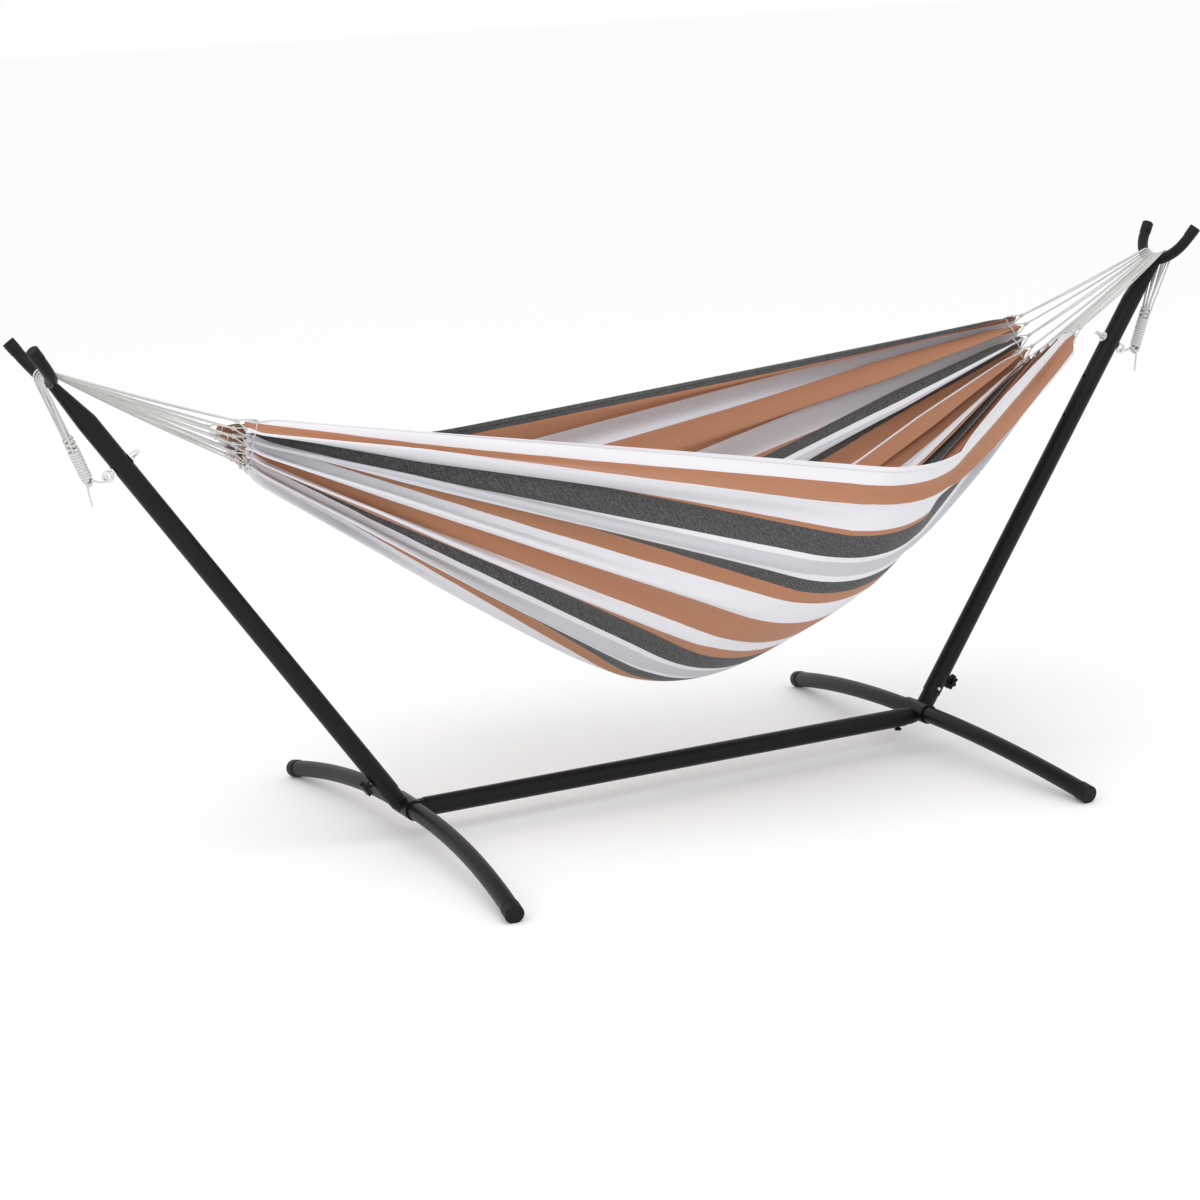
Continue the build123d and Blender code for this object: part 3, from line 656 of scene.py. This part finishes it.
def folded_cloth(settings):
    """The bed's surface with one lobe for each cord, the lengths along it, and each point's lobe."""
    across = np.linspace(-1, 1, CLOTH_ROWS)
    base = cloth_base(across, CLOTH_STEPS)
    along = unit(np.gradient(base, axis=1))
    sideways = np.gradient(base, axis=0)
    sideways = sideways - along * np.sum(sideways * along, axis=-1, keepdims=True)
    widths = np.linalg.norm(sideways, axis=-1).sum(axis=0)
    sideways = unit(sideways)
    normals = unit(np.cross(along, sideways))
    steps = np.linalg.norm(np.diff(base, axis=1), axis=-1)
    lengths = np.concatenate([np.zeros((len(across), 1)), np.cumsum(steps, axis=1)], axis=1)
    total = lengths[:, -1:]
    to_end = np.minimum(lengths, total - lengths)
    place = (across + 1)[:, None] / 2
    share = lengths / total

    # The spare width sets how deep the lobes are
    fullness = np.maximum(CLOTH_WIDTH / widths, 1.0)
    pitch = (widths / CORDS_PER_END)[None, :]
    depth = pitch / 4 * np.sqrt(np.maximum(fullness**2 - 1, 0.0)) * settings.pleat_depth
    variation = 1 + DEPTH_VARIATION * np.sin(DEPTH_RATE * place + DEPTH_PHASE)
    depth = np.minimum(depth, settings.deepest_pleat) * variation

    # Lobes of uneven width, counted from valley to valley; each side edge lies near a crest
    turns = EDGE_TURN + (CORDS_PER_END - 2 * EDGE_TURN) * place + TURN_DRIFT * np.sin(math.pi * share)
    turns = turns + LOBE_SHIFT * (1 - np.cos(math.tau * place))
    lobe = np.clip(np.floor(turns), 0, CORDS_PER_END - 1).astype(int)
    phase = math.tau * (turns - 0.25)
    wave = np.sin(phase) + SECOND_WAVE * np.sin(2 * phase + SECOND_PHASE)
    wave = wave + THIRD_WAVE * np.sin(3 * phase + THIRD_PHASE)

    # Each lobe is drawn together where its cord is tied, and its end is rounded
    reach = np.where(to_end < settings.lashing_from_hem, TIE_REACH_TO_HEM, TIE_REACH_TO_BED)
    tied = bell(to_end - settings.lashing_from_hem, reach)
    from_crest = turns - lobe - 0.5
    at_edge = (turns < 0.5) | (turns > CORDS_PER_END - 0.5)
    draw = np.where(at_edge, from_crest, np.sin(math.tau * from_crest) / math.tau)
    drawn = -TIE_DRAW * pitch * tied * draw
    corner = bell(place, CORNER_SHARE) + bell(1 - place, CORNER_SHARE)
    valley = (1 + np.cos(math.tau * turns)) / 2
    recess = settings.lobe_rounding * valley * bell(to_end, ROUNDING_REACH)
    recess = recess + CORNER_RECESS * corner * bell(to_end, CORNER_REACH)

    # Full folds lean over, and the bed between them swells slowly
    leaning = np.clip(fullness[None, :] - LEAN_FROM, 0, LEAN_MOST) * np.sin(2 * phase + LEAN_PHASE)
    lean = LEAN_SHARE * pitch * leaning * (1 - tied) * (1 - np.minimum(corner, 1.0))
    swell = SWELL * np.sin(math.tau * SWELL_RATE * place + SWELL_PHASE) * np.sin(math.pi * share) ** 2
    tuck = bell((place - TUCK_PLACE) * CLOTH_WIDTH, TUCK_WIDTH) * np.clip(to_end / TUCK_REACH, 0, 1)
    out = depth * wave * (1 - TIE_FLATTENING * tied)
    out = out + swell * np.clip(to_end / SWELL_REACH, 0, 1) - TUCK_DEPTH * tuck
    inward = np.where(share < 0.5, recess, -recess)
    surface = base + normals * out[..., None]
    surface = surface + sideways * (lean + drawn)[..., None] + along * inward[..., None]
    return surface, lengths, lobe


def lobes_at(end, settings):
    """Neck points and tip of each lobe of one end, in the order of its cords, as at the right end."""
    surface, lengths, lobe = folded_cloth(settings)
    if end == "left":
        surface = half_turn(surface[::-1, ::-1])
        lengths = (lengths[:, -1:] - lengths)[::-1, ::-1]
        lobe = CORDS_PER_END - 1 - lobe[::-1, ::-1]
    to_hem = lengths[0, -1] - lengths[0]
    column = int(np.argmin(np.abs(to_hem - settings.lashing_from_hem)))
    made = []
    for index in range(CORDS_PER_END):
        rows = lobe[:, column] == index
        made.append((surface[rows, column], surface[rows, -1].mean(axis=0)))
    return made


# ---- Settings
class HammockClothSettings(bpy.types.PropertyGroup):
    white: bpy.props.FloatVectorProperty(
        name="White stripe", description="Colour of the white yarn", subtype="COLOR",
        default=linear(229, 228, 233)
    )
    terracotta: bpy.props.FloatVectorProperty(
        name="Terracotta stripe", description="Colour of the terracotta yarn", subtype="COLOR",
        default=linear(172, 118, 88)
    )
    charcoal: bpy.props.FloatVectorProperty(
        name="Charcoal stripe", description="Colour of the charcoal yarn", subtype="COLOR",
        default=linear(48, 48, 49)
    )
    grey: bpy.props.FloatVectorProperty(
        name="Grey stripe", description="Colour of the grey yarn", subtype="COLOR",
        default=linear(192, 193, 199)
    )
    pleat_depth: bpy.props.FloatProperty(
        name="Pleat depth", description="Share of the spare width that the pleats take up", default=0.62
    )
    deepest_pleat: bpy.props.FloatProperty(
        name="Deepest pleat", description="Largest height of a pleat to one side", unit="LENGTH",
        default=0.019
    )
    lashing_from_hem: bpy.props.FloatProperty(
        name="Lashing", description="Distance of each lobe's lashing from the hem", unit="LENGTH",
        default=0.011
    )
    lobe_rounding: bpy.props.FloatProperty(
        name="Lobe rounding", description="How far the hem is drawn back between lobes", unit="LENGTH",
        default=0.014
    )
    thickness: bpy.props.FloatProperty(
        name="Thickness", description="Thickness of the cloth", unit="LENGTH", default=0.0012
    )


class HammockStandSettings(bpy.types.PropertyGroup):
    coat_colour: bpy.props.FloatVectorProperty(
        name="Powder coat", description="Colour of the steel tubes", subtype="COLOR",
        default=linear(15, 15, 16)
    )
    plastic_colour: bpy.props.FloatVectorProperty(
        name="Plastic", description="Colour of the caps and knobs", subtype="COLOR",
        default=linear(14, 14, 15)
    )
    zinc_colour: bpy.props.FloatVectorProperty(
        name="Zinc", description="Colour of the bolts and washers", subtype="COLOR",
        default=linear(205, 206, 210)
    )


class HammockCordSettings(bpy.types.PropertyGroup):
    cord_colour: bpy.props.FloatVectorProperty(
        name="Cord", description="Colour of the cotton cords", subtype="COLOR",
        default=linear(218, 217, 215)
    )
    lay_length: bpy.props.FloatProperty(
        name="Lay", description="Length of one turn of a cord's strands", unit="LENGTH", default=0.016
    )
    whipping_turns: bpy.props.IntProperty(
        name="Whipping turns", description="Turns of cord round each bundle", default=11
    )


class HammockStageSettings(bpy.types.PropertyGroup):
    floor_colour: bpy.props.FloatVectorProperty(
        name="Floor", description="Colour of the studio floor", subtype="COLOR", default=(0.97, 0.97, 0.97)
    )
    key_energy: bpy.props.FloatProperty(
        name="Key light", description="Power of the large overhead light", unit="POWER", default=70.0
    )
    fill_energy: bpy.props.FloatProperty(
        name="Fill light", description="Power of the front light", unit="POWER", default=14.0
    )
    world_strength: bpy.props.FloatProperty(
        name="Surround", description="Strength of the white surround", default=1.0
    )


def cloth_finish():
    return bpy.data.materials.get("woven_stripes") or striped_cotton(bpy.context.scene.hammock_cloth)


def cord_finish():
    return bpy.data.materials.get("laid_cord") or cotton_cord(bpy.context.scene.hammock_cords)


def loose_cord_finish():
    return bpy.data.materials.get("loose_cotton_cord") or loose_cord(bpy.context.scene.hammock_cords)


ENDS = (("right", np.asarray), ("left", half_turn))


# ---- Pieces
class HAMMOCK_OT_stand_finishes(bpy.types.Operator):
    """Give the steel, plastic and plated pieces of the stand their finishes"""

    bl_idname = "hammock.stand_finishes"
    bl_label = "Stand finishes"

    def execute(self, context):
        settings = context.scene.hammock_stand
        made = {
            "black_powder_coat": powder_coat(settings),
            "black_plastic": moulded_plastic(settings),
            "zinc_steel": zinc_plate(settings),
        }
        for part in frame["record"]["subparts"]:
            material = made.get(part["material_slot"])
            if material:
                node = frame["nodes"][part["node"]]
                for slot in node.material_slots:
                    slot.material = material
        return {"FINISHED"}


class HAMMOCK_OT_bed(bpy.types.Operator):
    """Build the gathered cloth with its side and end hems"""

    bl_idname = "hammock.bed"
    bl_label = "Cloth bed"

    def execute(self, context):
        settings = context.scene.hammock_cloth
        surface, lengths = folded_cloth(settings)[:2]
        rows, columns = surface.shape[:2]
        width = np.linspace(0, CLOTH_WIDTH, rows)
        weave = np.stack([lengths, np.broadcast_to(width[:, None], lengths.shape)], axis=-1)

        def patch(name, some_rows, some_columns, thickness):
            """A piece of the folded surface, as cloth of some thickness."""
            points = surface[some_rows][:, some_columns]
            places = weave[some_rows][:, some_columns].reshape(-1, 2)
            faces = grid_faces(points.shape[0], points.shape[1])
            corners = [places[index] for face in faces for index in face]
            piece = new_piece(name, points.reshape(-1, 3), faces, corners, cloth_finish())
            shell = piece.modifiers.new("thickness", "SOLIDIFY")
            shell.thickness = thickness
            shell.offset = 0.0
            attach(piece, "hammock")
            return piece

        everything = slice(None)
        bed = patch("hammock_cloth", everything, everything, settings.thickness)
        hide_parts("hammock_bed")
        hems = [
            patch("near_side_hem", slice(0, HEM_ROWS), everything, SIDE_HEM_THICKNESS),
            patch("far_side_hem", slice(rows - HEM_ROWS, rows), everything, SIDE_HEM_THICKNESS),
            patch("left_end_hem", everything, slice(0, HEM_COLUMNS), END_HEM_THICKNESS),
            patch("right_end_hem", everything, slice(columns - HEM_COLUMNS, columns), END_HEM_THICKNESS),
        ]
        return {"FINISHED"}


def cord_places(spread):
    """Places of the cords across a spread, from the near side to the far one."""
    return [(index / (CORDS_PER_END - 1) - 0.5) * spread for index in range(CORDS_PER_END)]


def hem_point(across):
    """A point on the right gather, from -1 at the near corner to 1 at the far one."""
    return mixed_ends(np.array([across]), RIGHT_NEAR_CORNER, RIGHT_LOW, RIGHT_FAR_CORNER)[0]


def saddle_route(index):
    """One cord of the right end: hem point, arc over the rod, and whipping point."""
    y = cord_places(SADDLE_SPREAD)[index]
    narrow = cord_places(WHIPPING_SPREAD)[index]
    hem = hem_point(-1 + 2 * index / (CORDS_PER_END - 1))
    rise = FORK_RADIUS - math.sqrt(FORK_RADIUS**2 - y**2)
    slope = math.sqrt(1 - (y / FORK_RADIUS) ** 2)
    centre = at(y, FORK_OFFSET, SADDLE_T + rise)
    radius = FORK_ROD_RADIUS / slope + SADDLE_GAP + CORD_RADIUS
    outward = WHIPPING_TOP[0] + BUNDLE_DEPTH * math.cos(BUNDLE_PHASE * index)
    whipping_end = at(narrow, outward, WHIPPING_TOP[1])
    pull, drop = hem - centre, whipping_end - centre
    meets = math.atan2(pull @ T_DIR, pull @ N_DIR) % math.tau - math.acos(radius / np.linalg.norm(pull))
    leaves = math.atan2(drop @ T_DIR, drop @ N_DIR) + math.acos(radius / np.linalg.norm(drop))
    angles = np.linspace(meets, leaves, SADDLE_STEPS)
    arc = np.array([centre + radius * (math.cos(a) * N_DIR + math.sin(a) * T_DIR) for a in angles])
    return hem, arc, whipping_end


class HAMMOCK_OT_harness(bpy.types.Operator):
    """Lay the cords from the cloth's hem to the forks"""

    bl_idname = "hammock.harness"
    bl_label = "Harness cords"

    def execute(self, context):
        for end, turn in ENDS:
            parts = []
            for index, (_, tip) in enumerate(lobes_at(end, context.scene.hammock_cloth)):
                arc = saddle_route(index)[1]
                knot = tip + unit(arc[0] - tip) * KNOT_FROM_TIP
                shares = np.linspace(0, 1, HARNESS_STEPS)[:, None]
                across = unit(np.cross(arc[0] - knot, Y_DIR))
                level = unit(np.cross(arc[0] - knot, across))
                angle = index * STRAND_PHASE
                apart = across * math.cos(angle) + level * math.sin(angle)
                sag = np.array([0.0, 0.0, -HARNESS_SAG]) * np.sin(np.pi * shares)
                for strand in (-1, 1):
                    gap = strand * (STRAND_OFFSET + STRAND_BOW * np.sin(np.pi * shares))
                    path = knot + (arc[0] - knot) * shares + sag + apart * gap
                    parts.append(tube_parts(turn(np.concatenate([path, arc[1:2]])), STRAND_RADIUS))
            cords = new_piece(end + "_harness", *joined(parts), cord_finish())
            hem, arc = saddle_route(MIDDLE_CORD)[:2]
            reach = arc[0] + (hem - arc[0]) * BLEND_REACH
            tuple(turn(reach))
            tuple(turn(arc[0]))
            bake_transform(cords)
            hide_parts(end + "_harness_cords")
        return {"FINISHED"}


class HAMMOCK_OT_bundles(bpy.types.Operator):
    """Lay the cords over each fork and down into the whipping"""

    bl_idname = "hammock.bundles"
    bl_label = "Cord bundles"

    def execute(self, context):
        for end, turn in ENDS:
            parts = []
            for index in range(CORDS_PER_END):
                arc, whipping_end = saddle_route(index)[1:]
                inside = whipping_end + at(0.0, *WHIPPING_BOTTOM) - at(0.0, *WHIPPING_TOP)
                shares = np.linspace(0, 1, DROP_STEPS)[1:, None]
                bow = np.sin(np.pi * shares) * BUNDLE_BOW * math.sin(index * BOW_PHASE)
                drop = arc[-1] + (whipping_end - arc[-1]) * shares + bow * Y_DIR
                path = np.concatenate([arc, drop, [inside]])
                parts.append(tube_parts(turn(path), CORD_RADIUS))
            bundle = new_piece(end + "_bundle", *joined(parts), cord_finish())
            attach(bundle, "stand")
            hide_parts(end + "_rope_bundle")
        return {"FINISHED"}


class HAMMOCK_OT_whippings(bpy.types.Operator):
    """Bind each bundle with turns of cord, with crossed turns above and folded loops below"""

    bl_idname = "hammock.whippings"
    bl_label = "Whippings"

    def execute(self, context):
        turns = context.scene.hammock_cords.whipping_turns
        top, bottom = at(0, *WHIPPING_TOP), at(0, *WHIPPING_BOTTOM)
        down = unit(bottom - top)
        out = unit(np.cross(Y_DIR, down))
        length = np.linalg.norm(bottom - top)

        def winding(count, start, finish, half_widths, half_depths, slant):
            """An oval helix round the bundle, whose half-axes change from its start to its finish."""
            shares = np.linspace(0, 1, int(count * STEPS_PER_TURN))
            angles = shares * count * math.tau
            wobble = 1 + WINDING_WOBBLE * np.sin(angles * WOBBLE_RATE)
            wide = (half_widths[0] + (half_widths[1] - half_widths[0]) * shares) * wobble
            deep = (half_depths[0] + (half_depths[1] - half_depths[0]) * shares) * wobble
            return (
                top + down * (start + (finish - start) * shares)[:, None]
                + Y_DIR * (wide * np.cos(angles))[:, None] + out * (deep * np.sin(angles))[:, None]
                + down * (slant * np.cos(angles))[:, None]
            )

        for end, turn in ENDS:
            binding_turns = winding(turns, BINDING_MARGIN, length - BINDING_MARGIN, *BINDING)
            parts = [tube_parts(turn(binding_turns), length / turns / 2 * BINDING_FILL)]
            for crossing in CROSSINGS:
                parts.append(tube_parts(turn(winding(CROSSING_TURNS, *crossing)), CROSSING_RADIUS))
            for side, drop in LOWER_LOOPS:
                angles = np.linspace(0, math.pi, LOOP_STEPS)
                loop = bottom + np.outer(np.cos(angles), out) * LOOP_HALF_DEPTH
                loop = loop + np.outer(np.sin(angles), down) * drop
                loop[:, 1] += side
                parts.append(tube_parts(turn(loop), LOOP_RADIUS))
            binding = new_piece(end + "_binding", *joined(parts), cord_finish())
            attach(binding, "stand")
            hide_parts(end + "_whipping")
        return {"FINISHED"}


class HAMMOCK_OT_knots(bpy.types.Operator):
    """Knot each cord at the hem, and lash the pleat that it carries"""

    bl_idname = "hammock.knots"
    bl_label = "Knots and lashings"

    def execute(self, context):
        for end, turn in ENDS:
            parts = []
            for index, (neck, tip) in enumerate(lobes_at(end, context.scene.hammock_cloth)):
                pull = unit(saddle_route(index)[1][0] - tip)
                across = neck[-1] - neck[0]
                across = unit(across - pull * (across @ pull))
                out = np.cross(pull, across)
                sides, heights = (neck - tip) @ across, (neck - tip) @ out
                centre = neck.mean(axis=0)
                centre = centre + across * ((sides.max() + sides.min()) / 2 - (centre - tip) @ across)
                centre = centre + out * ((heights.max() + heights.min()) / 2 - (centre - tip) @ out)
                half_side = np.ptp(sides) / 2 + LASHING_SLACK
                half_out = np.ptp(heights) / 2 + LASHING_SLACK
                angles = np.linspace(0, math.tau, LASHING_STEPS)
                ring = centre + np.outer(np.cos(angles) * half_side, across)
                ring = ring + np.outer(np.sin(angles) * half_out, out)
                parts.append(tube_parts(turn(ring), LASHING_RADIUS, LASHING_SIDES))
                knot_centre = tip + pull * KNOT_FROM_TIP
                shares = np.linspace(0, 1, LEG_STEPS)[:, None]
                for side in (-1, 1):
                    start = centre + across * (side * half_side)
                    bow = across * (side * LEG_BOW) * np.sin(np.pi * shares)
                    leg = start + (knot_centre - start) * shares + bow
                    parts.append(tube_parts(turn(leg), LASHING_RADIUS, LASHING_SIDES))
                steps = np.linspace(0, 1, KNOT_STEPS)
                swell = KNOT_CORE + KNOT_SWELL * np.sin(steps * math.pi)
                turns = steps * KNOT_TURNS * math.tau + index
                knot = knot_centre + np.outer(KNOT_LENGTH * (steps - 0.5), pull)
                knot = knot + np.outer(np.cos(turns) * swell, across) + np.outer(np.sin(turns) * swell, out)
                parts.append(tube_parts(turn(knot), KNOT_RADIUS, LASHING_SIDES))
            knots = new_piece(end + "_knots", *joined(parts), cord_finish())
            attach(knots, "hammock")
            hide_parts(end + "_hem_knots")
        return {"FINISHED"}


class HAMMOCK_OT_loose_cords(bpy.types.Operator):
    """Hang the tail and the link cord below each whipping"""

    bl_idname = "hammock.loose_cords"
    bl_label = "Tails and link cords"

    def execute(self, context):
        for end, turn in ENDS:
            for name, node, route, length, far_end in (
                ("_tail", "_rope_tail", TAIL_ROUTE, TAIL_LENGTH, "bare"),
                ("_link", "_link_cord", LINK_ROUTE, LINK_LENGTH, "object"),
            ):
                points = [turn(at(*place)) for place in route]
                curve = bpy.data.curves.new(end + name, "CURVE")
                curve.dimensions = "3D"
                spline = curve.splines.new("NURBS")
                spline.points.add(len(points) - 1)
                for knot, point in zip(spline.points, points):
                    knot.co = (*point, 1.0)
                spline.order_u = 3
                spline.use_endpoint_u = True
                spline.resolution_u = 12
                curve.bevel_depth = CORD_RADIUS
                curve.bevel_resolution = 3
                curve.use_fill_caps = True
                curve.materials.append(loose_cord_finish())
                piece = bpy.data.objects.new(end + name, curve)
                bpy.context.scene.collection.objects.link(piece)
                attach(piece, "stand")
                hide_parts(end + node)
        return {"FINISHED"}


class HAMMOCK_OT_stage(bpy.types.Operator):
    """Set up the floor, the soft lights and the camera"""

    bl_idname = "hammock.stage"
    bl_label = "Stage"

    def execute(self, context):
        settings = context.scene.hammock_stage
        scene = context.scene
        self.add_floor(tuple(settings.floor_colour))
        world = bpy.data.worlds.new("studio")
        world.use_nodes = True
        surround = next(n for n in world.node_tree.nodes if n.type == "BACKGROUND")
        surround.inputs["Color"].default_value = (1.0, 1.0, 1.0, 1.0)
        surround.inputs["Strength"].default_value = settings.world_strength
        scene.world = world
        scene.view_settings.view_transform = "Standard"
        self.add_light(scene, "key_light", settings.key_energy, *KEY_LIGHT)
        self.add_light(scene, "fill_light", settings.fill_energy, *FILL_LIGHT)
        self.add_camera(scene)
        return {"FINISHED"}

    def add_floor(self, pale):
        """A wide plain floor with a faint mottle."""
        finish = Finish("studio_floor")
        mottle = finish.noise(finish.object_place(), 0.6)
        dull = tuple(channel * 0.98 for channel in pale)
        finish.surface(Base_Color=finish.mix(mottle * 0.2, pale, dull), Roughness=0.9)
        far = FLOOR_HALF_SIDE
        corners = [(-far, -far, 0), (far, -far, 0), (far, far, 0), (-far, far, 0)]
        floor = new_piece("studio_floor", corners, [(0, 1, 2, 3)], [(0, 0)] * 4, finish.material)

    def add_light(self, scene, name, energy, size, place, target):
        """A square soft light that faces a point."""
        light = bpy.data.lights.new(name, "AREA")
        light.energy = energy
        light.size = size
        lamp = bpy.data.objects.new(name, light)
        lamp.location = place
        lamp.rotation_euler = (Vector(target) - Vector(place)).to_track_quat("-Z", "Y").to_euler()
        scene.collection.objects.link(lamp)

    def add_camera(self, scene):
        """The camera, turned by its yaw, pitch and roll."""
        yaw, pitch, roll = CAMERA_YAW, CAMERA_PITCH, CAMERA_ROLL
        ahead = Vector((math.sin(yaw) * math.cos(pitch), math.cos(yaw) * math.cos(pitch), -math.sin(pitch)))
        level = Vector((math.cos(yaw), -math.sin(yaw), 0.0))
        upright = level.cross(ahead)
        right = level * math.cos(roll) + upright * math.sin(roll)
        above = upright * math.cos(roll) - level * math.sin(roll)
        lens = bpy.data.cameras.new("camera")
        lens.lens = CAMERA_LENS
        lens.sensor_width = CAMERA_SENSOR
        lens.clip_end = CAMERA_REACH
        camera = bpy.data.objects.new("camera", lens)
        turned = Matrix((right, above, -ahead)).transposed().to_4x4()
        camera.matrix_world = Matrix.Translation(CAMERA_PLACE) @ turned
        scene.collection.objects.link(camera)
        scene.camera = camera


OPERATORS = (
    HAMMOCK_OT_stage,
    HAMMOCK_OT_stand_finishes,
    HAMMOCK_OT_bed,
    HAMMOCK_OT_harness,
    HAMMOCK_OT_bundles,
    HAMMOCK_OT_whippings,
    HAMMOCK_OT_knots,
    HAMMOCK_OT_loose_cords,
)
SETTINGS = {
    "hammock_cloth": HammockClothSettings,
    "hammock_stand": HammockStandSettings,
    "hammock_cords": HammockCordSettings,
    "hammock_stage": HammockStageSettings,
}


class HAMMOCK_PT_panel(bpy.types.Panel):
    """Lists the hammock's pieces"""

    bl_label = "Hammock on Stand"
    bl_idname = "HAMMOCK_PT_panel"
    bl_space_type = "VIEW_3D"
    bl_region_type = "UI"
    bl_category = "Hammock"

    def draw(self, context):
        for operator in OPERATORS:
            self.layout.operator(operator.bl_idname)


def register():
    for settings in SETTINGS.values():
        bpy.utils.register_class(settings)
    for operator in OPERATORS + (HAMMOCK_PT_panel,):
        bpy.utils.register_class(operator)
    for name, settings in SETTINGS.items():
        setattr(bpy.types.Scene, name, bpy.props.PointerProperty(type=settings))


def unregister():
    for name in SETTINGS:
        delattr(bpy.types.Scene, name)
    for made in (HAMMOCK_PT_panel,) + OPERATORS[::-1] + tuple(SETTINGS.values()):
        bpy.utils.unregister_class(made)


def main():
    register()
    for operator in OPERATORS:
        group, name = operator.bl_idname.split(".")
        getattr(getattr(bpy.ops, group), name)()


if __name__ == "__main__":
    main()
